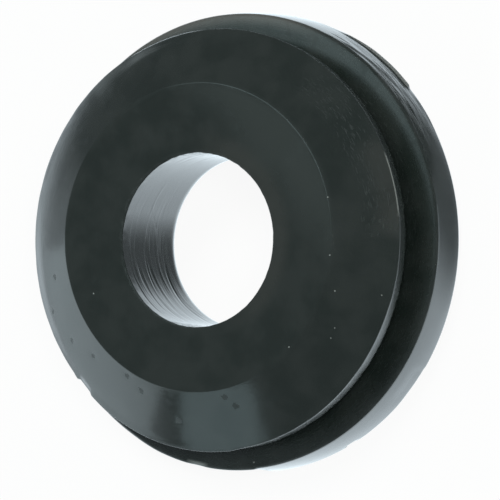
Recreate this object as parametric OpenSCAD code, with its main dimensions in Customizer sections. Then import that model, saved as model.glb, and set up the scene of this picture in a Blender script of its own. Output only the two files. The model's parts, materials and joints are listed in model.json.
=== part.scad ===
// Rubber push-in grommet: one moulded ring that lines the hole in a thin panel and guards a cable.
// The bore axis is +Z. The wide rear flange lies flat on z = 0 and the tapered front flange is on top.
// The tapered side is pushed through the panel until the groove snaps over the edge of the hole.

/* [Bore] */
// Diameter of the hole that the cable passes through
bore_d = 9.4; // [6:0.1:13]
// Rounding of the bore where it opens in the rear face
bore_rear_round = 1.3; // [0.2:0.05:2]
// Rounding of the bore where it opens in the front face
bore_front_round = 0.25; // [0.1:0.05:1]

/* [Rear flange] */
// Outside diameter at the rear face
rear_d = 25.4; // [23:0.1:36]
// Thickness of the rear flange
rear_t = 2.25; // [1.2:0.05:5]
// Angle by which the rim draws in towards the groove
rear_draft = 5; // [0:0.1:10]

/* [Panel groove] */
// Diameter at the bottom of the groove, the size of the hole in the panel
groove_d = 19; // [15:0.1:21]
// Width of the groove, the thickness of the panel
groove_w = 1.6; // [0.8:0.05:5]
// Fillet in the two corners at the bottom of the groove
groove_fillet = 0.2; // [0.05:0.05:0.4]

/* [Front flange] */
// Outside diameter of the straight rim
front_d = 22.9; // [21:0.1:30]
// Height of the straight rim
front_rim_h = 0.85; // [0.4:0.05:3]
// Rise of the taper from the rim to the flat face
taper_h = 1.75; // [0.6:0.05:5]
// Diameter of the flat face inside the taper
face_d = 16.7; // [13:0.1:21]

/* [Edges] */
// Rounding of the four edges of the two rims
rim_round = 0.12; // [0.05:0.01:0.3]
// Rounding of the crease between the flat face and the taper
crease_round = 0.3; // [0.05:0.05:2]

/* [Hidden] */
$fn = 160;

rubber_black = [0.16, 0.17, 0.17];

// Largest share of a section edge that one rounding may use up, so that two never meet
edge_share = 0.45;

// Extra radius of each arc, so that it crosses the edges it meets instead of only touching them
arc_overlap = 0.0005;

groove_z = rear_t;
front_z = groove_z + groove_w;
taper_z = front_z + front_rim_h;
face_z = taper_z + taper_h;
rear_neck_r = rear_d / 2 - rear_t * tan(rear_draft);

// Corners of the section in order, each as its [radius, height] and its rounding
corners = [
    [[bore_d / 2, 0], bore_rear_round],
    [[rear_d / 2, 0], rim_round],
    [[rear_neck_r, groove_z], rim_round],
    [[groove_d / 2, groove_z], groove_fillet],
    [[groove_d / 2, front_z], groove_fillet],
    [[front_d / 2, front_z], rim_round],
    [[front_d / 2, taper_z], rim_round],
    [[face_d / 2, face_z], crease_round],
    [[bore_d / 2, face_z], bore_front_round]
];
corner_ids = [0 : len(corners) - 1];

function unit(v) = v / norm(v);
function corner(i) = corners[(i + len(corners)) % len(corners)][0];
function to_last(i) = corner(i - 1) - corner(i);
function to_next(i) = corner(i + 1) - corner(i);
function half_angle(i) = acos(unit(to_last(i)) * unit(to_next(i))) / 2;
function is_in_groove(i) = cross(to_last(i), to_next(i)) > 0;

// Rounding at a corner, limited by the shorter of the two edges that meet there
function round_r(i) =
    let (edge = min(norm(to_last(i)), norm(to_next(i))))
    min(corners[i][1], edge_share * edge * tan(half_angle(i)));

// How far along each edge the arc starts, and the centre of the arc
function arc_start(i) = round_r(i) / tan(half_angle(i));
function arc_centre(i) =
    corner(i) + unit(unit(to_last(i)) + unit(to_next(i))) * round_r(i) / sin(half_angle(i));

// Sliver between a corner and the arc that rounds it, drawn on past the corner
module corner_sliver(i) {
    centre = arc_centre(i);
    difference() {
        polygon([
            corner(i) + unit(to_last(i)) * arc_start(i),
            2 * corner(i) - centre,
            corner(i) + unit(to_next(i)) * arc_start(i),
            centre
        ]);
        translate(centre) circle(r = round_r(i) + arc_overlap);
    }
}

// Section of the panel groove, open to the outside and filleted at the bottom
module groove_section() {
    difference() {
        translate([groove_d / 2, groove_z]) square([max(rear_d, front_d), groove_w]);
        for (i = corner_ids) if (is_in_groove(i)) corner_sliver(i);
    }
}

// Half section of the ring
module section() {
    difference() {
        polygon([for (i = corner_ids) if (!is_in_groove(i)) corner(i)]);
        groove_section();
        for (i = corner_ids) if (!is_in_groove(i)) corner_sliver(i);
    }
}

module grommet() {
    color(rubber_black) rotate_extrude() section();
}

grommet();
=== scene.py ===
"""A moulded rubber grommet that lies on a pale floor, seen from above its tapered side."""
import json
import math

import bpy
import numpy as np
from mathutils import Matrix, Vector


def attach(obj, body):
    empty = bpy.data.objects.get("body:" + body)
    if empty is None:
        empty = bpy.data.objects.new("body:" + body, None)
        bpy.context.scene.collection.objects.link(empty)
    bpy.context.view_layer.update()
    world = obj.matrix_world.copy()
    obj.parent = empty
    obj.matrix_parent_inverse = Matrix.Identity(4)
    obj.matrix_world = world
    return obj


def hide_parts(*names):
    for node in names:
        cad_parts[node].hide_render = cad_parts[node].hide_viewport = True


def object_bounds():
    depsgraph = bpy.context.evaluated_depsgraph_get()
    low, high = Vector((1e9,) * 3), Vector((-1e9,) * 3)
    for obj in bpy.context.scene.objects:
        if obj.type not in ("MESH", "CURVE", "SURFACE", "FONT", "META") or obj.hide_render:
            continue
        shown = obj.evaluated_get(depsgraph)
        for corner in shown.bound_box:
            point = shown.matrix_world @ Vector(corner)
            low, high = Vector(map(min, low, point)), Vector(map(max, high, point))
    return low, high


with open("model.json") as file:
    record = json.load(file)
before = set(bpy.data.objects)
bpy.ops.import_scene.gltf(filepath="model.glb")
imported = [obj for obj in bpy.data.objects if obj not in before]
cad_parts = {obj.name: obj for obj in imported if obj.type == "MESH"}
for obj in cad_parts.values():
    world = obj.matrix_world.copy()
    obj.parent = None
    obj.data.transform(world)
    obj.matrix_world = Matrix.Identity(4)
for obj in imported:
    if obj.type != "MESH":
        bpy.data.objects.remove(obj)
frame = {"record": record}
cad_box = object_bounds()

# Sizes in millimetres, turned into metres where meshes, lights and the camera are placed
MM = 0.001
MOUNTS = {m["name"]: m for m in frame["record"]["mounts"]}
HEIGHT = (cad_box[1][2] - cad_box[0][2]) / MM
BORE_R = MOUNTS["bore"]["dims"]["r_mm"]
GROOVE_R = MOUNTS["panel_groove"]["dims"]["r_mm"]
GROOVE_W = MOUNTS["panel_groove"]["dims"]["length_mm"]
GROOVE_Z = MOUNTS["panel_groove"]["pos_m"][2] / MM - GROOVE_W / 2
FRONT_Z = GROOVE_Z + GROOVE_W
REAR_R = 12.7
REAR_DRAFT = math.radians(5)
REAR_NECK_R = REAR_R - GROOVE_Z * math.tan(REAR_DRAFT)
FRONT_R = 11.45
FRONT_RIM_H = 0.85
TAPER_Z = FRONT_Z + FRONT_RIM_H
FACE_R = 8.35
RIM_ROUND = 0.12
GROOVE_FILLET = 0.2
CREASE_ROUND = 0.18
BORE_REAR_ROUND = 1.3
BORE_FRONT_ROUND = 0.05

# How far the taper swells past a straight line at mid width
TAPER_CROWN = 0.045

# Mesh density: steps round the axis, and rows on each rounded corner of the section
TURN_STEPS = 384
ARC_ROWS = 5
WIDE_ARC_ROWS = 12
WIDE_ARC_R = 1.0

# Helpers for shapes


def unit(v):
    """The vector of length 1 along a vector."""
    return v / np.linalg.norm(v)


def cos_deg(angle):
    """Cosine of an angle in degrees."""
    return np.cos(np.radians(angle))


def sin_deg(angle):
    """Sine of an angle in degrees."""
    return np.sin(np.radians(angle))


def swell(share):
    """A bulge that is 0 at the shares 0 and 1, and 1 halfway."""
    return 4 * share * (1 - share)


def rise(value, start, end):
    """A smooth step from 0 at start to 1 at end."""
    t = np.clip((value - start) / (end - start), 0, 1)
    return t * t * (3 - 2 * t)


def fall(value, start, end):
    """A smooth step from 1 at start to 0 at end."""
    return 1 - rise(value, start, end)


def between(value, start, end, soft_start, soft_end):
    """1 from start to end, with a soft stretch outside each."""
    return rise(value, start - soft_start, start) * fall(value, end, end + soft_end)


def near_edge(r, edge, start, full):
    """A smooth step outwards that starts at one distance inside an edge and is full at another."""
    return rise(r, edge - start, edge - full)


def wobble(angle, seed, waves, size):
    """A random ripple round the axis with the given numbers of waves in a turn."""
    rng = np.random.default_rng(seed)
    total = sum(np.sin(np.radians(angle) * n + rng.uniform(0, 2 * math.pi)) for n in waves)
    return size * total / math.sqrt(len(waves))


def ripples(u, v, seed, shortest, longest, count):
    """A sum of random plane waves over two coordinates, about 1 high."""
    rng = np.random.default_rng(seed)
    total = 0
    for _ in range(count):
        heading = rng.uniform(0, math.pi)
        step = 2 * math.pi / rng.uniform(shortest, longest)
        shift = rng.uniform(0, 2 * math.pi)
        total = total + np.sin((u * math.cos(heading) + v * math.sin(heading)) * step + shift)
    return total / math.sqrt(count)


# Section of the ring

# Corners as radius, height and rounding, then rows and crown of the edge that follows
CORNERS = [
    (BORE_R, 0.0, BORE_REAR_ROUND, 8, 0.0),
    (REAR_R, 0.0, RIM_ROUND, 30, 0.0),
    (REAR_NECK_R, GROOVE_Z, RIM_ROUND, 18, 0.0),
    (GROOVE_R, GROOVE_Z, GROOVE_FILLET, 4, 0.0),
    (GROOVE_R, FRONT_Z, GROOVE_FILLET, 6, 0.0),
    (FRONT_R, FRONT_Z, RIM_ROUND, 8, 0.0),
    (FRONT_R, TAPER_Z, RIM_ROUND / 2, 26, TAPER_CROWN),
    (FACE_R, HEIGHT, CREASE_ROUND, 16, 0.0),
    (BORE_R, HEIGHT, BORE_FRONT_ROUND, 98, 0.0),
]


def rounded_corner(last, here, following, radius, rows):
    """Points of the arc that rounds a corner, from the edge before it to the edge after it."""
    a, b = unit(last - here), unit(following - here)
    half = math.acos(float(a @ b)) / 2
    centre = here + unit(a + b) * radius / math.sin(half)
    start = here + a * radius / math.tan(half) - centre
    end = here + b * radius / math.tan(half) - centre
    sweep = math.atan2(start[0] * end[1] - start[1] * end[0], float(start @ end))
    turns = [sweep * i / (rows - 1) for i in range(rows)]
    return [centre + np.array([start[0] * math.cos(t) - start[1] * math.sin(t),
                               start[0] * math.sin(t) + start[1] * math.cos(t)]) for t in turns]


def crowned_edge(start, end, rows, crown):
    """Points between two arcs, which swell outwards by the crown at mid length."""
    along = end - start
    outward = unit(np.array([along[1], -along[0]]))
    shares = [k / rows for k in range(1, rows)]
    return [start + along * share + outward * crown * swell(share) for share in shares]


def section():
    """The closed half section as an array of radius and height, counterclockwise."""
    places = [np.array(corner[:2]) for corner in CORNERS]
    n = len(CORNERS)
    arcs = []
    for i, corner in enumerate(CORNERS):
        radius = corner[2]
        rows = WIDE_ARC_ROWS if radius > WIDE_ARC_R else ARC_ROWS
        arcs.append(rounded_corner(places[i - 1], places[i], places[(i + 1) % n], radius, rows))
    points = []
    for i, arc in enumerate(arcs):
        rows, crown = CORNERS[i][3:]
        points += arc
        points += crowned_edge(arc[-1], arcs[(i + 1) % n][0], rows, crown)
    return np.array(points)


def section_normals(profile):
    """Outward unit vectors of the section, one for each of its points."""
    along = np.roll(profile, -1, axis=0) - np.roll(profile, 1, axis=0)
    outward = np.stack([along[:, 1], -along[:, 0]], axis=1)
    return outward / np.linalg.norm(outward, axis=1)[:, None]


# Marks of moulding, trimming and use. Angles are in degrees from +X towards +Y. An arc is its start,
# its end and the soft stretch outside each. A blend is the distances inside an edge at which a mark
# starts and is full.

# Rear rim: how far it swells at mid height and stands in
RIM_CROWN = 0.05
RIM_INSET = 0.016
RIM_BLEND = (0.5, 0.15)

# Its rear edge, which rolls in at the right: depth, height, middle angle, and the angles from it
# between which the roll comes in
REAR_ROLL = 0.042
REAR_ROLL_HEIGHT = 0.9
REAR_ROLL_ANGLE = 5
REAR_ROLL_FADE = (36, 14)

# Its trimmed stretch at the bottom, with the inset at the rear and the lean as shares of the draft
UPRIGHT_ARC = (252, 279.2, 12, 1.2)
UPRIGHT_INSET = 1.7
UPRIGHT_LEAN = 2.0


def rear_rim(angle, r, z):
    """Swell of the rear rim, its rolled edge, and the stretch that was trimmed upright."""
    share = np.clip(z / GROOVE_Z, 0, 1)
    outer, inner = REAR_ROLL_FADE
    right_side = rise(cos_deg(angle - REAR_ROLL_ANGLE), cos_deg(outer), cos_deg(inner))
    roll = REAR_ROLL * right_side * np.clip(1 - z / REAR_ROLL_HEIGHT, 0, 1) ** 2
    moulded = RIM_CROWN * swell(share) - RIM_INSET - roll
    trimmed = (REAR_R - REAR_NECK_R) * (UPRIGHT_LEAN * share - UPRIGHT_INSET)
    upright = between(angle, *UPRIGHT_ARC)
    on_rim = near_edge(r, REAR_NECK_R, *RIM_BLEND)
    return (moulded * (1 - upright) + trimmed * upright) * on_rim


# Flash on the rear edge: its width and height, the angles where it breaks off and where it runs out
FIN_WIDTH = 0.11
FIN_HEIGHT = 0.42
FIN_SOFT = 0.05
FIN_BREAK = (44.1, 44.9)
FIN_END = (56, 72.5)
FIN_BLEND = (0.4, 0.2)


def flash_fin(angle, r, z):
    """Untrimmed flash that stands out from the rear edge and breaks off at its end."""
    width = FIN_WIDTH * rise(angle, *FIN_BREAK) * fall(angle, *FIN_END)
    low = fall(z, FIN_HEIGHT - FIN_SOFT, FIN_HEIGHT + FIN_SOFT)
    return width * low * near_edge(r, REAR_R, *FIN_BLEND)


# A torn step and a flat in the rear edge: depth, arc and the heights between which it ends
REAR_CUTS = [
    (0.10, (302.0, 303.6, 0.5, 1.6), (0.15, 0.4)),
    (0.035, (324, 330.2, 6, 0.9), (0.6, 1.6)),
]
REAR_CUT_BLEND = (0.5, 0.2)


def rear_edge_cuts(angle, r, z):
    """A torn step and a flat where the rear edge was trimmed."""
    total = sum(depth * between(angle, *arc) * fall(z, *end) for depth, arc, end in REAR_CUTS)
    return -total * near_edge(r, REAR_R, *REAR_CUT_BLEND)


# Front rim: draft at the lower right, undercut at the right and, deeper, at the bottom
FRONT_DRAFT = 0.002
FRONT_DRAFT_ARC = (292, 322, 8, 26)
FRONT_UNDERCUT = 0.04
UNDERCUT_START = (336, 356)
UNDERCUT_END = (80, 130)
LOW_UNDERCUT = 0.06
LOW_UNDERCUT_ARC = (240, 279, 20, 5)

# Its ripple, and the cut and the burr beside it in its edge at the lower left
FRONT_RIPPLE = 0.006
FRONT_RIPPLE_SEED = 3
FRONT_RIPPLE_WAVES = (7, 11, 19, 37, 53)
FRONT_CUT = 0.09
FRONT_CUT_ARC = (225.9, 230.4, 0.5, 0.9)
FRONT_BURR = 0.03
FRONT_BURR_ARC = (224.4, 225.2, 1.5, 0.3)
FRONT_CUT_BLEND = (0.5, 0.2)
FRONT_BLEND = (0.4, 0.05)
FRONT_FOOT_BLEND = (0.2, 0.0)


def front_rim(angle, r, z):
    """Slight draft and undercut of the front rim, its ripple, and a cut in its edge."""
    tilt = FRONT_DRAFT * between(angle, *FRONT_DRAFT_ARC)
    tilt = tilt - FRONT_UNDERCUT * (fall(angle, *UNDERCUT_END) + rise(angle, *UNDERCUT_START))
    tilt = tilt - LOW_UNDERCUT * between(angle, *LOW_UNDERCUT_ARC)
    draft = tilt * (1 - 2 * np.clip((z - FRONT_Z) / FRONT_RIM_H, 0, 1))
    ripple = wobble(angle, FRONT_RIPPLE_SEED, FRONT_RIPPLE_WAVES, FRONT_RIPPLE)
    cut = FRONT_CUT * between(angle, *FRONT_CUT_ARC) - FRONT_BURR * between(angle, *FRONT_BURR_ARC)
    cut = cut * near_edge(z, TAPER_Z, *FRONT_CUT_BLEND)
    on_rim = near_edge(r, FRONT_R, *FRONT_BLEND) * near_edge(z, FRONT_Z, *FRONT_FOOT_BLEND)
    return (draft + ripple - cut) * on_rim


# Shifts of the bore and of the face's edge in X and Y, and the radii over which they die out
BORE_SHIFT = (0.06, -0.06)
BORE_SHIFT_END = (BORE_R + BORE_REAR_ROUND, BORE_R + 2.4)
FACE_SHIFT = (-0.02, 0.09)
FACE_SHIFT_BLEND = (1.1, 0.3)


def off_centre(angle, r, z):
    """Small shifts of the bore and of the face's edge, which do not sit quite on the axis."""
    c, s = cos_deg(angle), sin_deg(angle)
    in_bore = fall(r, *BORE_SHIFT_END)
    up_taper = np.clip((FRONT_R - r) / (FRONT_R - FACE_R), 0, 1)
    at_crease = near_edge(r, FACE_R, *FACE_SHIFT_BLEND) * up_taper * (z > TAPER_Z)
    bore = BORE_SHIFT[0] * c + BORE_SHIFT[1] * s
    face = FACE_SHIFT[0] * c + FACE_SHIFT[1] * s
    return bore * in_bore + face * at_crease


# Trimming of the bore's front edge: its roughness all round and at the top
MOUTH_ROUGH = 0.005
MOUTH_TOP_ROUGH = 0.006
MOUTH_TOP_ARC = (70, 112, 20, 20)
MOUTH_SEED = 5
MOUTH_WAVES = (13, 21, 34, 47, 61)
MOUTH_BLEND = (0.5, 0.1)
MOUTH_END = (BORE_R + 0.25, BORE_R + 0.6)


def bore_mouth(angle, r, z):
    """Uneven trimming of the bore's front edge, roughest at the top."""
    near = near_edge(z, HEIGHT, *MOUTH_BLEND) * fall(r, *MOUTH_END)
    rough = MOUTH_ROUGH + MOUTH_TOP_ROUGH * between(angle, *MOUTH_TOP_ARC)
    return near * rough * wobble(angle, MOUTH_SEED, MOUTH_WAVES, 1.0)


# Random fine lines in the bore: ranges of the middle angle, the reach to each side, the slope, the
# waves in a turn and their shift, the height, the depth and the width
LINE_SEED = 11
LINE_COUNT = 60
LINE_ANGLES = (170, 240)
LINE_REACHES = (10, 38)
LINE_SLOPES = (-0.006, 0.006)
LINE_WAVES = (4, 14)
LINE_SHIFTS = (0, 6)
LINE_WAVE_SIZE = 0.04
LINE_HEIGHTS = (1.5, 6.0)
LINE_DEPTHS = (0.003, 0.009)
LINE_WIDTHS = (0.05, 0.08)

# Single lines: their depth and width
SINGLE_DEPTH = 0.008
SINGLE_WIDTH = 0.06

# One on the left that forks: its height, and for each branch the rise, the bend's angles and the arc
FORK_Z = 3.95
FORK_BRANCHES = [
    (0.1, (161, 176), (146, 215, 8, 20)),
    (-1.1, (158, 180), (160, 225, 4, 15)),
]

# Slanting ones at the top: their heights at one angle, their rise a degree and their arc
SLANT_HEIGHTS = (5.2, 4.6, 3.4)
SLANT_ANGLE = 105
SLANT_RISE = 0.02
SLANT_ARC = (96, 112, 6, 12)

BORE_SKIN = 0.01


def cut_line(z, height, width):
    """The shape across a fine line: 1 at its height, and near 0 beyond its width."""
    return np.exp(-((z - height) / width) ** 2)


def drawn_lines(angle, z):
    """Fine random lines round the bore, densest on the left."""
    rng = np.random.default_rng(LINE_SEED)
    total = 0
    for _ in range(LINE_COUNT):
        turn = angle - rng.uniform(*LINE_ANGLES)
        reach = rng.uniform(*LINE_REACHES)
        drift = rng.uniform(*LINE_SLOPES) * turn
        phase = np.radians(turn) * rng.uniform(*LINE_WAVES) + rng.uniform(*LINE_SHIFTS)
        height = rng.uniform(*LINE_HEIGHTS) + drift + LINE_WAVE_SIZE * np.sin(phase)
        depth = rng.uniform(*LINE_DEPTHS) * rng.choice((-1, 1))
        width = rng.uniform(*LINE_WIDTHS)
        total = total + depth * cut_line(z, height, width) * np.exp(-(turn / reach) ** 4)
    return total


def forked_line(angle, z):
    """A raised line on the left of the bore that parts in two."""
    total = 0
    for climb, bend, arc in FORK_BRANCHES:
        height = FORK_Z + climb * rise(angle, *bend)
        total = total + SINGLE_DEPTH * cut_line(z, height, SINGLE_WIDTH) * between(angle, *arc)
    return total


def slanting_lines(angle, z):
    """Cuts that slant across the top of the bore."""
    total = 0
    for middle in SLANT_HEIGHTS:
        height = middle + SLANT_RISE * (angle - SLANT_ANGLE)
        total = total - SINGLE_DEPTH * cut_line(z, height, SINGLE_WIDTH) * between(angle, *SLANT_ARC)
    return total


def bore_lines(angle, r, z):
    """Fine lines round the bore where the core was drawn."""
    lines = drawn_lines(angle, z) + forked_line(angle, z) + slanting_lines(angle, z)
    return lines * (r < BORE_R + BORE_SKIN)


# Small dents in the taper: radius, angle, half length round the axis, half width and depth
DENTS = [
    (9.29, 226.6, 0.32, 0.16, 0.018),
    (10.09, 216.7, 0.22, 0.13, 0.014),
    (8.62, 243.0, 0.30, 0.12, 0.016),
    (8.98, 249.9, 0.34, 0.13, 0.010),
    (9.95, 264.8, 0.14, 0.24, 0.006),
    (9.27, 287.7, 0.20, 0.14, 0.012),
    (8.70, 284.9, 0.40, 0.16, 0.010),
    (10.60, 205.0, 0.20, 0.12, 0.010),
    (9.60, 195.5, 0.26, 0.12, 0.010),
]


def dents(angle, r, z):
    """Shallow dents pressed into the taper."""
    total = 0
    for dent_r, dent_a, half_length, half_width, depth in DENTS:
        along = np.radians(angle - dent_a) * dent_r / half_length
        across = (r - dent_r) / half_width
        total = total - depth * np.exp(-along ** 2 - across ** 2)
    return total * (z > TAPER_Z)


# A worn spot on the front edge of the rear flange: angle, half width in degrees, reach and depth
SPOT_ANGLE = 262.9
SPOT_SPREAD = 2.4
SPOT_REACH = 0.4
SPOT_DEPTH = 0.07


def soft_edge(angle, r, z):
    """A worn spot on the front edge of the rear flange, at the bottom."""
    away = np.hypot(r - REAR_NECK_R, z - GROOVE_Z)
    worn = SPOT_DEPTH * np.clip(1 - away / SPOT_REACH, 0, 1) ** 2
    return -worn * np.exp(-((angle - SPOT_ANGLE) / SPOT_SPREAD) ** 2)


# The taper's rolled outer edge: where it starts, its drop, and its share on each arc
ROLLED_R = 10.4
ROLLED_DROP = 0.035
ROLLED_LOWEST = TAPER_Z - 0.05
ROLLED_ARCS = [
    (1.0, (192, 227, 22, 12)),
    (1.2, (104, 118, 15, 12)),
]


def rolled_edge(angle, r, z):
    """The taper's outer edge, which rolls over at the top and on the left."""
    roll = ROLLED_DROP * rise(r, ROLLED_R, FRONT_R) ** 2 * (z > ROLLED_LOWEST)
    return -roll * sum(share * between(angle, *arc) for share, arc in ROLLED_ARCS)


# Ripples are given as seed, shortest and longest wave, and count

# Rubbed patches on the rear rim: arc, depth, and how far their ripples are drawn out round the axis
SCUFF_ARC = (34, 62, 12, 8)
SCUFF_DEPTH = 0.006
SCUFF_STRETCH = 3
SCUFF_RIPPLES = (21, 0.4, 1.2, 18)
SCUFF_BLEND = (0.3, 0.0)
SCUFF_TOP = GROOVE_Z + 0.2


def scuffs(angle, r, z):
    """Rubbed patches on the rear rim at the upper right."""
    rubbed = between(angle, *SCUFF_ARC) * near_edge(r, REAR_NECK_R, *SCUFF_BLEND) * (z < SCUFF_TOP)
    return SCUFF_DEPTH * rubbed * ripples(np.radians(angle) * REAR_R / SCUFF_STRETCH, z, *SCUFF_RIPPLES)


WAVINESS = 0.0012
WAVINESS_RIPPLES = (31, 1.6, 5.0, 16)


def waviness(angle, r, z):
    """The slight unevenness of moulded rubber."""
    return WAVINESS * ripples(r * cos_deg(angle), r * sin_deg(angle) + z, *WAVINESS_RIPPLES)


# Slope of the rear flange's front face: its height, where it starts and the angle where it is full
FLANGE_CROWN = 0.135
FLANGE_CROWN_R = 10.9
FLANGE_CROWN_ANGLE = 92
FLANGE_LOW = (GROOVE_Z - 0.3, GROOVE_Z - 0.05)
FLANGE_HIGH = (GROOVE_Z + 0.3, GROOVE_Z + 0.8)
FLANGE_INNER_R = GROOVE_R - 0.1


def flange_crown(angle, r, z):
    """Rise of the rear flange's front face from its edge towards the groove, at the upper right."""
    share = np.clip((r - FLANGE_CROWN_R) / (REAR_NECK_R - FLANGE_CROWN_R), 0, 1)
    on_face = rise(z, *FLANGE_LOW) * fall(z, *FLANGE_HIGH) * (r > FLANGE_INNER_R)
    upper_right = 0.5 + 0.5 * cos_deg(angle - FLANGE_CROWN_ANGLE)
    return FLANGE_CROWN * (1 - share ** 2) * upper_right * on_face


# Marks that move the surface away from the axis, and marks that move it along its normal
EDGE_MARKS = (rear_rim, flash_fin, rear_edge_cuts, front_rim, off_centre, bore_mouth)
SURFACE_MARKS = (bore_lines, dents, soft_edge, rolled_edge, scuffs, waviness)


def turned_points(profile):
    """The section's points at every step round the axis, with the marks, in metres."""
    angle = (np.arange(TURN_STEPS) * 360 / TURN_STEPS)[:, None]
    r, z = profile[:, 0][None, :], profile[:, 1][None, :]
    normals = section_normals(profile)
    out = sum(mark(angle, r, z) for mark in SURFACE_MARKS)
    radius = r + sum(mark(angle, r, z) for mark in EDGE_MARKS) + out * normals[:, 0]
    height = np.clip(z + out * normals[:, 1] + flange_crown(angle, r, z), 0, HEIGHT)
    return np.stack([cos_deg(angle) * radius, sin_deg(angle) * radius, height], axis=2) * MM


def turned_faces(rows):
    """Four-sided faces between the steps and the rows, closed both ways round."""
    step, row = np.meshgrid(np.arange(TURN_STEPS), np.arange(rows), indexing="ij")
    next_step, next_row = (step + 1) % TURN_STEPS, (row + 1) % rows
    corners = [
        step * rows + row,
        next_step * rows + row,
        next_step * rows + next_row,
        step * rows + next_row,
    ]
    return np.stack(corners, axis=2)


def moulding(name, profile):
    """A closed mesh of the section turned about the axis, with its marks."""
    verts = turned_points(profile).reshape(-1, 3)
    faces = turned_faces(len(profile)).reshape(-1, 4)
    mesh = bpy.data.meshes.new(name)
    mesh.from_pydata(verts.tolist(), [], faces.tolist())
    mesh.shade_smooth()
    mesh.update()
    piece = bpy.data.objects.new(name, mesh)
    bpy.context.scene.collection.objects.link(piece)
    return piece


# Materials


class NodeTree:
    """Short calls that add nodes to a material or a world, and give back their outputs."""

    def __init__(self, owner):
        owner.use_nodes = True
        self.nodes = owner.node_tree.nodes
        self.links = owner.node_tree.links

    def feed(self, socket, value):
        """Link a socket to an output, or set it to a number, a vector or a colour."""
        if isinstance(value, bpy.types.NodeSocket):
            self.links.new(value, socket)
        elif socket.type == "RGBA":
            socket.default_value = (*value, 1)
        else:
            socket.default_value = value

    def maths(self, operation, first, second=0.0):
        """The output of a math node on two sockets or numbers."""
        node = self.nodes.new("ShaderNodeMath")
        node.operation = operation
        self.feed(node.inputs[0], first)
        self.feed(node.inputs[1], second)
        return node.outputs[0]

    def product(self, first, *others):
        """The product of several sockets or numbers."""
        for other in others:
            first = self.maths("MULTIPLY", first, other)
        return first

    def greatest(self, first, *others):
        """The greatest of several sockets or numbers."""
        for other in others:
            first = self.maths("MAXIMUM", first, other)
        return first

    def weighted_sum(self, base, *terms):
        """A number plus each of the given sockets times its weight."""
        total = base
        for value, weight in terms:
            total = self.maths("ADD", total, self.maths("MULTIPLY", value, weight))
        return total

    def vector(self, operation, first, second=None):
        """The output of a vector math node on a socket and, if given, a socket or a constant vector."""
        node = self.nodes.new("ShaderNodeVectorMath")
        node.operation = operation
        self.feed(node.inputs[0], first)
        if second is not None:
            self.feed(node.inputs[1], second)
        gives_number = operation in ("DOT_PRODUCT", "LENGTH", "DISTANCE")
        return node.outputs["Value" if gives_number else "Vector"]

    def split(self, value):
        """The outputs X, Y and Z of a vector."""
        node = self.nodes.new("ShaderNodeSeparateXYZ")
        self.links.new(value, node.inputs[0])
        return node.outputs

    def ramp(self, value, start, end, low=0.0, high=1.0):
        """A smooth ramp from low to high as the value goes from start to end."""
        node = self.nodes.new("ShaderNodeMapRange")
        node.interpolation_type = "SMOOTHSTEP"
        self.links.new(value, node.inputs["Value"])
        for name, number in (("From Min", start), ("From Max", end), ("To Min", low), ("To Max", high)):
            node.inputs[name].default_value = number
        return node.outputs["Result"]

    def facing(self, look, axis, outer, inner, low=0.0, high=1.0):
        """A ramp from low at the outer angle off an axis, in degrees, to high at the inner angle."""
        cosine = self.vector("DOT_PRODUCT", look, tuple(axis))
        return self.ramp(cosine, cos_deg(outer), cos_deg(inner), low, high)

    def noise(self, place, scale, detail):
        """Noise over a place in millimetres, about 0.5 on average."""
        node = self.nodes.new("ShaderNodeTexNoise")
        self.links.new(place, node.inputs["Vector"])
        node.inputs["Scale"].default_value = scale
        node.inputs["Detail"].default_value = detail
        return node.outputs[0]

    def mix_colour(self, share, first, second):
        """The colour that goes from the first to the second, each a socket or three numbers."""
        mix = self.nodes.new("ShaderNodeMix")
        mix.data_type = "RGBA"
        self.links.new(share, mix.inputs["Factor"])
        colour_inputs = [socket for socket in mix.inputs if socket.type == "RGBA"]
        self.feed(colour_inputs[0], first)
        self.feed(colour_inputs[1], second)
        return next(socket for socket in mix.outputs if socket.type == "RGBA")

    def mix_shader(self, share, first, second):
        """A shader node that goes from the first shader to the second as the share goes from 0 to 1."""
        mix = self.nodes.new("ShaderNodeMixShader")
        self.links.new(share, mix.inputs[0])
        self.links.new(first.outputs[0], mix.inputs[1])
        self.links.new(second.outputs[0], mix.inputs[2])
        return mix


def front_height(r):
    """Height of the flat face or the taper at a radius."""
    return HEIGHT - max(0.0, r - FACE_R) * (HEIGHT - TAPER_Z) / (FRONT_R - FACE_R)


def ring_point(r, angle, z):
    """The point at a radius, an angle in degrees and a height."""
    return r * cos_deg(angle), r * sin_deg(angle), z


# Streaks that run round the axis: how quickly they change across the surface and along the turn
STREAKS_ACROSS = 7.0
STREAKS_ALONG = 13.0


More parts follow.
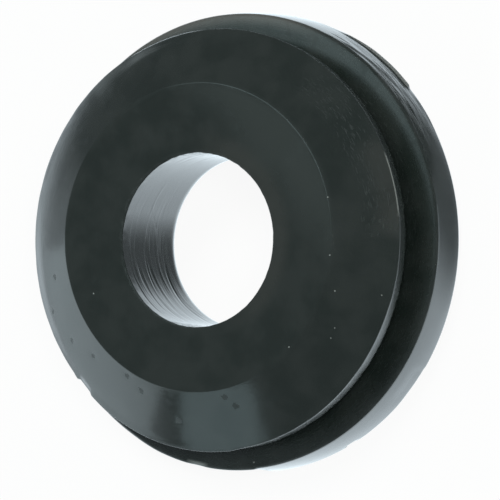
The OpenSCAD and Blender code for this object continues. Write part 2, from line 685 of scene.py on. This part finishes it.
class RubberTree(NodeTree):
    """The rubber's nodes, with the place of each point on the ring in millimetres."""

    def __init__(self, material):
        super().__init__(material)
        coordinates = self.nodes.new("ShaderNodeTexCoord").outputs["Object"]
        self.place = self.vector("MULTIPLY", coordinates, (1 / MM, 1 / MM, 1 / MM))
        self.flat = self.vector("MULTIPLY", self.place, (1.0, 1.0, 0.0))
        self.radius = self.vector("LENGTH", self.flat)
        self.spoke = self.vector("NORMALIZE", self.flat)
        self.height = self.split(self.place)["Z"]
        self.streak_place = self.along_turn()

    def along_turn(self):
        """A place for noise that is slow along the turn and quick across it."""
        across = self.nodes.new("ShaderNodeCombineXYZ")
        lift = self.maths("SUBTRACT", self.radius, self.height)
        self.links.new(self.maths("MULTIPLY", lift, STREAKS_ACROSS), across.inputs["Z"])
        along = self.vector("MULTIPLY", self.spoke, (STREAKS_ALONG, STREAKS_ALONG, STREAKS_ALONG))
        return self.vector("ADD", along, across.outputs[0])

    def near_angle(self, angle, outer, inner, share=1.0):
        """The share up to the inner angle from a direction, and 0 from the outer angle on."""
        return self.facing(self.spoke, ring_point(1.0, angle, 0.0), outer, inner, 0.0, share)

    def ring_distance(self, ring_r, ring_z):
        """Distance from a ring of a radius and a height."""
        off_r = self.maths("SUBTRACT", self.radius, ring_r)
        off_z = self.maths("SUBTRACT", self.height, ring_z)
        squares = self.maths("ADD", self.product(off_r, off_r), self.product(off_z, off_z))
        return self.maths("SQRT", squares)

    def radius_distance(self, ring_r):
        """Distance from a radius, inwards or outwards."""
        return self.maths("ABSOLUTE", self.maths("SUBTRACT", self.radius, ring_r))


# Wear along the edges: each ring as radius, height and share, the distances from it between which the
# wear ends, and the levels of the streaks that break it up
WEAR_RINGS = [
    (FACE_R, HEIGHT, 0.3),
    (BORE_R, HEIGHT, 1.0),
    (FRONT_R, TAPER_Z, 0.1),
    (REAR_NECK_R, GROOVE_Z, 1.0),
    (REAR_R, 0.0, 1.0),
]
WEAR_END = (0.05, 0.20)
WEAR_STREAKS = (0.35, 0.75)


def worn_edges(tree, streaks):
    """Wear along the edges of the section."""
    rings = [tree.ramp(tree.ring_distance(r, z), *WEAR_END, share, 0.0) for r, z, share in WEAR_RINGS]
    return tree.product(tree.greatest(*rings), tree.ramp(streaks, *WEAR_STREAKS))


# Noises are given as scale and detail. A turn is the middle angle and the angles from it between which
# a mark comes in, and the share that it reaches if that is not 1.

# Rubbed stretch of the rear rim: its turn, its radii, its strokes and the levels that they show at
RUBBED_TURN = (48, 21.6, 12.8)
RUBBED_RADII = (REAR_NECK_R - 0.2, REAR_NECK_R - 0.05)
RUBBED_NOISE = (0.5, 2.5)
RUBBED_LEVELS = (0.42, 0.58)


def rubbed_rim(tree):
    """Strokes on the rear rim at the upper right, where it is rubbed."""
    strokes = tree.ramp(tree.noise(tree.streak_place, *RUBBED_NOISE), *RUBBED_LEVELS)
    on_rim = tree.ramp(tree.radius, *RUBBED_RADII)
    return tree.product(tree.near_angle(*RUBBED_TURN), on_rim, strokes)


# Scratches on the taper at the right: their turn, middle radius, distances from it and levels
SCRATCH_TURN = (30, 34.9, 18.2)
SCRATCH_R = 10.5
SCRATCH_END = (0.3, 1.3)
SCRATCH_NOISE = (1.7, 3.0)
SCRATCH_LEVELS = (0.55, 0.68)


def scratches(tree):
    """Fine scratches round the taper at the right."""
    lines = tree.ramp(tree.noise(tree.streak_place, *SCRATCH_NOISE), *SCRATCH_LEVELS)
    on_band = tree.ramp(tree.radius_distance(SCRATCH_R), *SCRATCH_END, 1.0, 0.0)
    return tree.product(tree.near_angle(*SCRATCH_TURN), on_band, lines)


TRIMMED_RADII = (FRONT_R - 0.12, FRONT_R - 0.04)
TRIMMED_HEIGHTS = (FRONT_Z - 0.3, FRONT_Z)


def trimmed_rim(tree):
    """The duller trimmed surface of the front rim."""
    return tree.product(tree.ramp(tree.radius, *TRIMMED_RADII), tree.ramp(tree.height, *TRIMMED_HEIGHTS))


# Painted sheen at the right: a paler colour in place of light, round the bore's mouth and near the edge
# of the taper
MOUTH_SHEEN_TURN = (15, 90, 45.6, 0.45)
MOUTH_SHEEN_RADII = (BORE_R + 0.4, BORE_R + 1.4)
EDGE_SHEEN_TURN = (18, 16.3, 8.1, 0.4)
EDGE_SHEEN_RADII = (10.1, 11.1)
EDGE_SHEEN_HEIGHTS = (TAPER_Z, TAPER_Z + 0.05)


def painted_sheen(tree):
    """A painted sheen, a paler colour in place of light, round the bore's mouth and near the edge of the
    taper at the right.
    """
    mouth = tree.product(tree.near_angle(*MOUTH_SHEEN_TURN),
                         tree.ramp(tree.radius, *MOUTH_SHEEN_RADII, 1.0, 0.0))
    edge = tree.product(tree.near_angle(*EDGE_SHEEN_TURN),
                        tree.ramp(tree.radius, *EDGE_SHEEN_RADII),
                        tree.ramp(tree.height, *EDGE_SHEEN_HEIGHTS))
    return tree.greatest(mouth, edge)


# A thin painted highlight along the taper's edge at the right: its turn, radius and distances
EDGE_HIGHLIGHT_TURN = (18, 9.6, 6.3, 0.7)
EDGE_HIGHLIGHT_R = FRONT_R + 0.02
EDGE_HIGHLIGHT_END = (0.02, 0.055)


def painted_edge_highlight(tree):
    """A thin painted highlight along the edge of the taper at the right."""
    near = tree.ramp(tree.ring_distance(EDGE_HIGHLIGHT_R, TAPER_Z), *EDGE_HIGHLIGHT_END, 1.0, 0.0)
    return tree.product(tree.near_angle(*EDGE_HIGHLIGHT_TURN), near)


DULL_START = (GROOVE_Z - 0.2, GROOVE_Z - 0.05)
DULL_END = (GROOVE_Z + 0.3, GROOVE_Z + 0.5)
DULL_RADII = (GROOVE_R, GROOVE_R + 0.3)


def flange_face(tree):
    """The dull front face of the rear flange, in the groove."""
    return tree.product(tree.ramp(tree.height, *DULL_START), tree.ramp(tree.height, *DULL_END, 1.0, 0.0),
                        tree.ramp(tree.radius, *DULL_RADII))


# Painted light on the rear flange's outer edge at the top: its turn and radii
FLANGE_LIGHT_TURN = (102, 36.9, 14.1, 0.9)
FLANGE_LIGHT_RADII = (11.7, 12.5)


def painted_flange_light(tree, on_flange):
    """Painted light: the rear flange's outer edge at the top, coloured pale grey where light falls on
    it.
    """
    return tree.product(on_flange, tree.near_angle(*FLANGE_LIGHT_TURN), tree.ramp(tree.radius, *FLANGE_LIGHT_RADII))


# Dull spots on the dents: the distances between which each ends, and how far the grain makes it uneven
SCUFFED_END = (0.08, 0.24)
SCUFFED_UNEVEN = 0.35
NOISE_MEAN = 0.5


def scuffed_spots(tree, grain):
    """Dull spots with uneven edges where the taper is dented."""
    uneven = tree.maths("MULTIPLY", tree.maths("SUBTRACT", grain, NOISE_MEAN), SCUFFED_UNEVEN)
    spots = []
    for dent_r, dent_a, *_ in DENTS:
        gap = tree.vector("DISTANCE", tree.place, ring_point(dent_r, dent_a, front_height(dent_r)))
        spots.append(tree.ramp(tree.maths("ADD", gap, uneven), *SCUFFED_END, 1.0, 0.0))
    return tree.greatest(*spots)


# Specks of dust as radius and angle on the front, and as radius, angle and height elsewhere, where the
# first, on the front rim's edge, is a painted glint
FRONT_SPECKS = [(8.86, 344.8), (9.50, 333.2), (9.57, 329.7), (8.21, 318.4), (8.35, 18.2), (10.99, 347.4),
                (8.28, 356.9), (7.10, 207.9)]
OTHER_SPECKS = [(FRONT_R, 235.4, TAPER_Z), (REAR_NECK_R - 0.35, 279.7, GROOVE_Z)]
SPECK_R = 0.052


def dust_and_glint_specks(tree):
    """Small round specks of dust, and one painted glint on the front rim's edge."""
    rings = [(r, angle, front_height(r)) for r, angle in FRONT_SPECKS] + OTHER_SPECKS
    gaps = [tree.vector("DISTANCE", tree.place, ring_point(*ring)) for ring in rings]
    return tree.greatest(*[tree.ramp(gap, SPECK_R / 2, SPECK_R, 1.0, 0.0) for gap in gaps])


# The side towards which the face grows paler, the distances that way and the share that it reaches
PALER_SIDE = (0.68, 0.73, 0.0)
PALER_START = (4.1, 7.3)
PALER_SHARE = 0.8
PALER_RADII = (FACE_R - 0.3, FACE_R + 0.3)


def paler_upper_right(tree):
    """The face, paler towards its upper right."""
    side = tree.vector("DOT_PRODUCT", tree.flat, PALER_SIDE)
    return tree.product(tree.ramp(side, *PALER_START, 0.0, PALER_SHARE),
                        tree.ramp(tree.radius, *PALER_RADII, 1.0, 0.0))


# A painted highlight on the worn spot at the bottom of the rear flange's edge: its turn, radius and
# distances
SPOT_HIGHLIGHT_TURN = (SPOT_ANGLE, 3.6, 0.0, 0.8)
SPOT_HIGHLIGHT_R = REAR_NECK_R - 0.1
SPOT_HIGHLIGHT_END = (0.0, 0.17)


def painted_spot_highlight(tree):
    """A painted highlight on the worn spot of the rear flange's edge, at the bottom."""
    return tree.product(tree.near_angle(*SPOT_HIGHLIGHT_TURN),
                        tree.ramp(tree.radius_distance(SPOT_HIGHLIGHT_R), *SPOT_HIGHLIGHT_END, 1.0, 0.0))


# The flash's outer face past the rear edge, which is rougher where torn and painted pale in place of the
# light on it
FLASH_FACE_RADII = (REAR_R + 0.01, REAR_R + 0.04)


def torn_and_lit_flash(tree):
    """The torn edge of the flash, which stands out past the rear edge; its pale colour is painted light
    on the flash's lit outer face.
    """
    return tree.ramp(tree.radius, *FLASH_FACE_RADII)


STREAK_NOISE = (1.0, 3.0)
GRAIN_NOISE = (6.0, 3.0)


def shared_marks(tree):
    """The noises and marks that the colour, the roughness and the relief share."""
    streaks = tree.noise(tree.streak_place, *STREAK_NOISE)
    return {
        "streaks": streaks,
        "grain": tree.noise(tree.place, *GRAIN_NOISE),
        "wear": worn_edges(tree, streaks),
        "rubbed": rubbed_rim(tree),
        "torn_and_lit": torn_and_lit_flash(tree),
        "flange": flange_face(tree),
        "dust_and_glint": dust_and_glint_specks(tree),
    }


# Colours of the rubber, which is mottled, and of the marks on it
RUBBER_DARK = (0.014, 0.019, 0.017)
RUBBER_PALE = (0.022, 0.027, 0.025)
MOTTLE_NOISE = (0.55, 4.0)
MOTTLE_LEVELS = (0.35, 0.65)
WORN = (0.034, 0.039, 0.038)
WORN_SHARE = 0.6
# Paler colour towards the upper right of the face
UPPER_RIGHT_PALE = (0.036, 0.043, 0.041)
# Paler colour painted round the bore's mouth and near the taper's edge at the right, in place of light
PAINTED_SHEEN = (0.046, 0.047, 0.043)
# Pale grey painted on the rear flange's outer edge at the top, in place of light
FLANGE_PAINTED_LIGHT = (0.118, 0.115, 0.108)
SCRATCH = (0.036, 0.042, 0.041)
# Pale colour painted on the flash's outer face in place of the light that falls on it
FIN_PAINTED_LIGHT = (0.16, 0.165, 0.16)
# Pale colour of the dust specks, of the painted glint, and of the painted highlights on the taper's edge
# and the rear flange's worn spot
DUST_AND_HIGHLIGHT = (0.26, 0.27, 0.26)


def rubber_colour(tree, marks):
    """Mottled black, with the colour of each mark laid over it in turn."""
    worn = tree.greatest(marks["wear"], marks["rubbed"])
    layers = [
        (tree.maths("MULTIPLY", worn, WORN_SHARE), WORN),
        (paler_upper_right(tree), UPPER_RIGHT_PALE),
        (painted_spot_highlight(tree), DUST_AND_HIGHLIGHT),
        (painted_sheen(tree), PAINTED_SHEEN),
        (painted_flange_light(tree, marks["flange"]), FLANGE_PAINTED_LIGHT),
        (scratches(tree), SCRATCH),
        (marks["torn_and_lit"], FIN_PAINTED_LIGHT),
        (painted_edge_highlight(tree), DUST_AND_HIGHLIGHT),
        (marks["dust_and_glint"], DUST_AND_HIGHLIGHT),
    ]
    mottle = tree.ramp(tree.noise(tree.place, *MOTTLE_NOISE), *MOTTLE_LEVELS)
    colour = tree.mix_colour(mottle, RUBBER_DARK, RUBBER_PALE)
    for share, layer in layers:
        colour = tree.mix_colour(share, colour, layer)
    return colour


# Roughness of the plain rubber, the patches that are duller, and what each mark adds
ROUGH_BASE = 0.08
PATCH_NOISE = (1.3, 3.0)
PATCH_LEVELS = (0.52, 0.72)
ROUGH_PATCHES = 0.06
ROUGH_STREAKS = 0.10
ROUGH_WEAR = 0.12
ROUGH_RUBBED = 0.18
ROUGH_TRIMMED = 0.10
ROUGH_FLANGE = 0.14
ROUGH_SCUFFED = 0.40
ROUGH_DUST = 0.5


def rubber_roughness(tree, marks):
    """A soft gloss, duller where the rubber is worn, trimmed, scuffed or dusty."""
    patches = tree.ramp(tree.noise(tree.place, *PATCH_NOISE), *PATCH_LEVELS)
    rims = tree.greatest(tree.maths("MULTIPLY", marks["rubbed"], ROUGH_RUBBED),
                         tree.maths("MULTIPLY", trimmed_rim(tree), ROUGH_TRIMMED))
    scuffed = tree.greatest(scuffed_spots(tree, marks["grain"]), marks["torn_and_lit"])
    return tree.weighted_sum(
        ROUGH_BASE,
        (marks["streaks"], ROUGH_STREAKS),
        (patches, ROUGH_PATCHES),
        (marks["wear"], ROUGH_WEAR),
        (rims, 1.0),
        (marks["flange"], ROUGH_FLANGE),
        (scuffed, ROUGH_SCUFFED),
        (marks["dust_and_glint"], ROUGH_DUST),
    )


# Fine relief: its strength and depth, and the share of each mark in it
BUMP_STRENGTH = 0.4
BUMP_DEPTH = 0.01
RELIEF_STREAKS = 0.7
RELIEF_GRAIN = 0.3
RELIEF_RUBBED = 1.4
RELIEF_DUST = 1.5


def rubber_relief(tree, marks):
    """The normal of a surface with fine streaks and grain."""
    relief = tree.weighted_sum(
        0.0,
        (marks["streaks"], RELIEF_STREAKS),
        (marks["grain"], RELIEF_GRAIN),
        (marks["rubbed"], RELIEF_RUBBED),
        (marks["dust_and_glint"], RELIEF_DUST),
    )
    bump = tree.nodes.new("ShaderNodeBump")
    bump.inputs["Strength"].default_value = BUMP_STRENGTH
    bump.inputs["Distance"].default_value = BUMP_DEPTH * MM
    tree.links.new(relief, bump.inputs["Height"])
    return bump.outputs[0]


RUBBER_IOR = 1.8


def rubber():
    """Black moulded rubber with concentric tool marks, a face paler towards its upper right, worn edges,
    a little dust, and painted highlights, sheen and light.
    """
    material = bpy.data.materials.new("moulded_rubber")
    tree = RubberTree(material)
    marks = shared_marks(tree)
    shader = tree.nodes["Principled BSDF"]
    tree.links.new(rubber_colour(tree, marks), shader.inputs["Base Color"])
    tree.links.new(rubber_roughness(tree, marks), shader.inputs["Roughness"])
    tree.links.new(rubber_relief(tree, marks), shader.inputs["Normal"])
    shader.inputs["IOR"].default_value = RUBBER_IOR
    return material


# Share of the floor that the camera sees as plain white, the rest being lit and shaded
CAMERA_GLOW = 0.92
FLOOR_WHITE = 0.9


def white_floor():
    """A white floor with a faint shadow. Reflections and views from below pass it and see the world."""
    material = bpy.data.materials.new("white_floor")
    tree = NodeTree(material)
    nodes = tree.nodes
    nodes.clear()
    path = nodes.new("ShaderNodeLightPath").outputs
    from_below = nodes.new("ShaderNodeNewGeometry").outputs["Backfacing"]
    clear = tree.greatest(path["Is Glossy Ray"], path["Is Transmission Ray"], from_below)
    camera_glow = tree.maths("MULTIPLY", path["Is Camera Ray"], CAMERA_GLOW)
    diffuse = nodes.new("ShaderNodeBsdfDiffuse")
    diffuse.inputs["Color"].default_value = (FLOOR_WHITE, FLOOR_WHITE, FLOOR_WHITE, 1)
    seen = tree.mix_shader(camera_glow, diffuse, nodes.new("ShaderNodeEmission"))
    surface = tree.mix_shader(clear, seen, nodes.new("ShaderNodeBsdfTransparent"))
    output = nodes.new("ShaderNodeOutputMaterial")
    tree.links.new(surface.outputs[0], output.inputs["Surface"])
    return material


# The piece

grommet = moulding("grommet_moulding", section())
grommet.data.materials.append(rubber())
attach(grommet, "root")
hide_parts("grommet")

# Floor

# Width of the floor in metres, and how far it lies below the part in millimetres
FLOOR_SIZE = 2.0
FLOOR_GAP = 0.01


def add_floor():
    """A square floor just below the part."""
    mesh = bpy.data.meshes.new("floor")
    half = FLOOR_SIZE / 2
    corners = [(-half, -half, 0), (half, -half, 0), (half, half, 0), (-half, half, 0)]
    mesh.from_pydata(corners, [], [(0, 1, 2, 3)])
    mesh.materials.append(white_floor())
    floor = bpy.data.objects.new("floor", mesh)
    floor.location.z = -FLOOR_GAP * MM
    bpy.context.scene.collection.objects.link(floor)
    return floor


floor = add_floor()

# Camera: the angle between the line of sight and the axis, the roll, the distance and the aim
VIEW_TILT = math.radians(29.81)
VIEW_ROLL = math.radians(3.47)
VIEW_DISTANCE = 215.7
VIEW_HEIGHT = 6.3
AIM_RIGHT = 2.844
AIM_DOWN = 0.606
SENSOR = 36.0
IMAGE_PX = 500
FOCAL_PX = 4000
CLIP_START = 10.0
CLIP_END = 10000.0


def view_axes():
    """Right, up and back of the camera in the part's frame."""
    ct, st = math.cos(VIEW_TILT), math.sin(VIEW_TILT)
    cr, sr = math.cos(VIEW_ROLL), math.sin(VIEW_ROLL)
    right = Vector((ct * cr, sr, -st * cr))
    up = Vector((-ct * sr, cr, st * sr))
    back = Vector((st, 0.0, ct))
    return right, up, back


def add_camera():
    """The camera at the photograph's viewing angle."""
    right, up, back = view_axes()
    aim = Vector((0, 0, VIEW_HEIGHT)) + right * AIM_RIGHT - up * AIM_DOWN
    data = bpy.data.cameras.new("camera")
    data.sensor_width = SENSOR
    data.lens = SENSOR * FOCAL_PX / IMAGE_PX
    data.clip_start = CLIP_START * MM
    data.clip_end = CLIP_END * MM
    camera = bpy.data.objects.new("camera", data)
    turn = Matrix((right, up, back)).transposed()
    camera.matrix_world = Matrix.Translation((aim + back * VIEW_DISTANCE) * MM) @ turn.to_4x4()
    bpy.context.scene.collection.objects.link(camera)
    bpy.context.scene.camera = camera


add_camera()

# Lights by name: azimuth from +X, elevation, width and height in degrees as seen from the part,
# brightness next to a white floor's 1, and colour. The part mirrors the panels but not the lamps.
LIGHT_DISTANCE = 300.0
PANELS = {
    "left_panel": (203.4, 21, 42.0, 46, 0.66, (0.78, 0.95, 1.0)),
    "front_panel": (245.8, 29, 22.4, 30, 0.68, (0.70, 0.94, 1.0)),
    "top_panel": (141, 63, 17, 30, 0.86, (0.72, 0.97, 1.0)),
    "low_panel": (138, 0.5, 34, 5, 0.6, (0.85, 0.97, 1.0)),
}
LAMPS = {
    "key": (100, 62, 18, 18, 12.0, (0.93, 0.98, 0.93)),
    "fill": (12, 58, 18, 18, 15.0, (0.93, 0.98, 0.93)),
}


def direction(azimuth, elevation):
    """Unit vector towards an azimuth from +X and an elevation, both in degrees."""
    az, el = math.radians(azimuth), math.radians(elevation)
    return Vector((math.cos(az) * math.cos(el), math.sin(az) * math.cos(el), math.sin(el)))


def add_light(name, azimuth, elevation, width, height, brightness, colour):
    """A soft rectangular light that faces the part."""
    data = bpy.data.lights.new(name, "AREA")
    data.shape = "RECTANGLE"
    data.size = 2 * LIGHT_DISTANCE * MM * math.tan(math.radians(width / 2))
    data.size_y = 2 * LIGHT_DISTANCE * MM * math.tan(math.radians(height / 2))
    data.energy = brightness * math.pi * data.size * data.size_y
    data.color = colour
    light = bpy.data.objects.new(name, data)
    out = direction(azimuth, elevation)
    light.location = out * LIGHT_DISTANCE * MM
    light.rotation_euler = out.to_track_quat("Z", "Y").to_euler()
    light.visible_camera = False
    bpy.context.scene.collection.objects.link(light)
    return light


for light_name, light_values in PANELS.items():
    add_light(light_name, *light_values)
for light_name, light_values in LAMPS.items():
    add_light(light_name, *light_values).visible_glossy = False

# The world's glow above the horizon, and below it at the front and at the back, with the distance in Y
# of a line of sight over which the one goes into the other
SKY_GLOW = 0.14
FRONT_GLOW = 2.0
BACK_GLOW = 1.75
GLOW_CHANGE = 0.5
WORLD_TINT = (0.82, 0.93, 1.0)

# Rise of a line of sight at which the white starts and is full, and how much lower it starts behind the
# part. A fade here is the angles off an axis between which a change comes in.
WHITE_RISE = (0.035, -0.16)
DARK_SIDE_AZIMUTH = 80
DARK_SIDE_FADE = (75.5, 56.6)
DARK_SIDE_DROP = 0.72

# A dim patch in the white, to the right of the part
PATCH_AZIMUTH = 30
PATCH_ELEVATION = -56
PATCH_FADE = (34, 6)
PATCH_SHARE = 0.18

# A soft glow round the left panel, near the horizon
SIDE_AZIMUTH = 199
SIDE_ELEVATION = 6
SIDE_FADE = (38, 8)
SIDE_GLOW = 0.66


def studio_world():
    """Dim above the horizon and white below it, where the rims and the bore look."""
    world = bpy.data.worlds.new("studio")
    tree = NodeTree(world)
    look = tree.nodes.new("ShaderNodeTexCoord").outputs["Generated"]
    parts = tree.split(look)
    drop = tree.facing(look, direction(DARK_SIDE_AZIMUTH, 0), *DARK_SIDE_FADE, 0.0, DARK_SIDE_DROP)
    below = tree.ramp(tree.maths("ADD", parts["Z"], drop), *WHITE_RISE)
    glow = tree.ramp(parts["Y"], -GLOW_CHANGE, GLOW_CHANGE, FRONT_GLOW, BACK_GLOW)
    patch = tree.facing(look, direction(PATCH_AZIMUTH, PATCH_ELEVATION), *PATCH_FADE, 1.0, PATCH_SHARE)
    white = tree.product(glow, patch, below)
    side = direction(SIDE_AZIMUTH, SIDE_ELEVATION)
    sky = tree.facing(look, side, *SIDE_FADE, SKY_GLOW, SKY_GLOW + SIDE_GLOW)
    background = tree.nodes["Background"]
    background.inputs["Color"].default_value = (*WORLD_TINT, 1)
    tree.links.new(tree.greatest(white, sky), background.inputs["Strength"])
    world.cycles.sampling_method = "NONE"
    bpy.context.scene.world = world


studio_world()
bpy.context.scene.view_settings.view_transform = "Standard"
